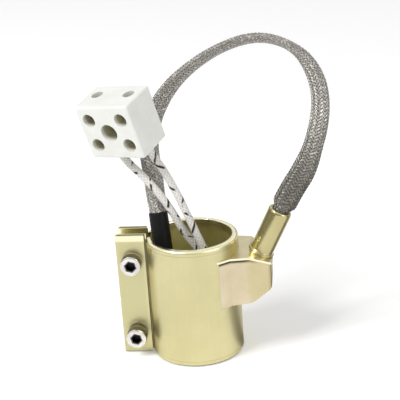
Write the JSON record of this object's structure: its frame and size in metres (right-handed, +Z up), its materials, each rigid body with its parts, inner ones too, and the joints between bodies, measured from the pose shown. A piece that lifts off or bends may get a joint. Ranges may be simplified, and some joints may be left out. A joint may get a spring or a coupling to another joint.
{
  "type": "band heater",
  "caption": "Narrow brass clamp band heater with screw ears, a boxed terminal cap, an arched braided lead and a ceramic screw terminal block.",
  "frame": {"origin": "on the bore's axis, in the plane of the bottom rim", "axes": "+Z up the bore, -X through the opening and the clamp ears, +X through the terminal cap, -Y the side of the screw heads"},
  "size_m": [0.0855, 0.0343, 0.1117],
  "materials": {
    "brass_sheet": "satin, lightly polished sheet brass",
    "liner_sheet": "dull, shaded in the bore",
    "mica": "layered mica sheet",
    "winding_alloy": "drawn ribbon",
    "bar_steel": "plain strip",
    "screw_steel": "bright plated",
    "screw_brown": "browned",
    "braid_steel": "fine woven wire",
    "shrink_black": "satin",
    "glass_fibre": "braided glass fibre with a black tracer",
    "ceramic": "white, half matt",
    "terminal_brass": "nickel tinged",
    "conductor_metal": "stranded nickel-clad wire"
  },
  "bodies": {
    "heater": {"outer_sheath": "brass_sheet", "inner_liner": "liner_sheet", "mica_inner": "mica", "winding_former": "mica", "resistance_ribbon": "winding_alloy", "mica_outer": "mica", "clamp_bar_front": "bar_steel", "clamp_bar_rear": "bar_steel", "terminal_cap": "brass_sheet", "cap_lid": "brass_sheet", "lead_ferrule": "brass_sheet", "terminal_tab_left": "winding_alloy", "terminal_tab_right": "winding_alloy", "crimp_left": "conductor_metal", "crimp_right": "conductor_metal", "inner_lead_left": "glass_fibre", "inner_lead_right": "glass_fibre", "lead_braid": "braid_steel", "heat_shrink_sleeve": "shrink_black", "lead_wire_left": "glass_fibre", "lead_wire_right": "glass_fibre", "terminal_block_body": "ceramic", "terminal_insert_left": "terminal_brass", "terminal_insert_right": "terminal_brass", "conductor_left": "conductor_metal", "conductor_right": "conductor_metal"},
    "clamp_screw_upper": {"clamp_screw_upper": "screw_steel"},
    "clamp_screw_lower": {"clamp_screw_lower": "screw_steel"},
    "terminal_screw_upper_left": {"terminal_screw_upper_left": "screw_brown"},
    "terminal_screw_upper_right": {"terminal_screw_upper_right": "screw_steel"},
    "terminal_screw_lower_left": {"terminal_screw_lower_left": "screw_steel"},
    "terminal_screw_lower_right": {"terminal_screw_lower_right": "screw_steel"}
  },
  "joints": [
    {"name": "clamp_screw_upper_turn", "type": "hinge", "parent": "heater", "child": "clamp_screw_upper", "pos_m": [-0.02094, 0, 0.0351], "axis": [0, 1, 0], "continuous": true},
    {"name": "clamp_screw_lower_turn", "type": "hinge", "parent": "heater", "child": "clamp_screw_lower", "pos_m": [-0.02094, 0, 0.0077], "axis": [0, 1, 0], "continuous": true},
    {"name": "terminal_screw_upper_left_turn", "type": "hinge", "parent": "heater", "child": "terminal_screw_upper_left", "pos_m": [-0.02914, 0.00308, 0.08751], "axis": [0.4098, 0.8726, 0.2656], "continuous": true},
    {"name": "terminal_screw_upper_right_turn", "type": "hinge", "parent": "heater", "child": "terminal_screw_upper_right", "pos_m": [-0.01744, -0.00286, 0.08896], "axis": [0.4098, 0.8726, 0.2656], "continuous": true},
    {"name": "terminal_screw_lower_left_turn", "type": "hinge", "parent": "heater", "child": "terminal_screw_lower_left", "pos_m": [-0.02707, 0.0049, 0.07832], "axis": [0.4098, 0.8726, 0.2656], "continuous": true},
    {"name": "terminal_screw_lower_right_turn", "type": "hinge", "parent": "heater", "child": "terminal_screw_lower_right", "pos_m": [-0.01537, -0.00103, 0.07977], "axis": [0.4098, 0.8726, 0.2656], "continuous": true}
  ]
}
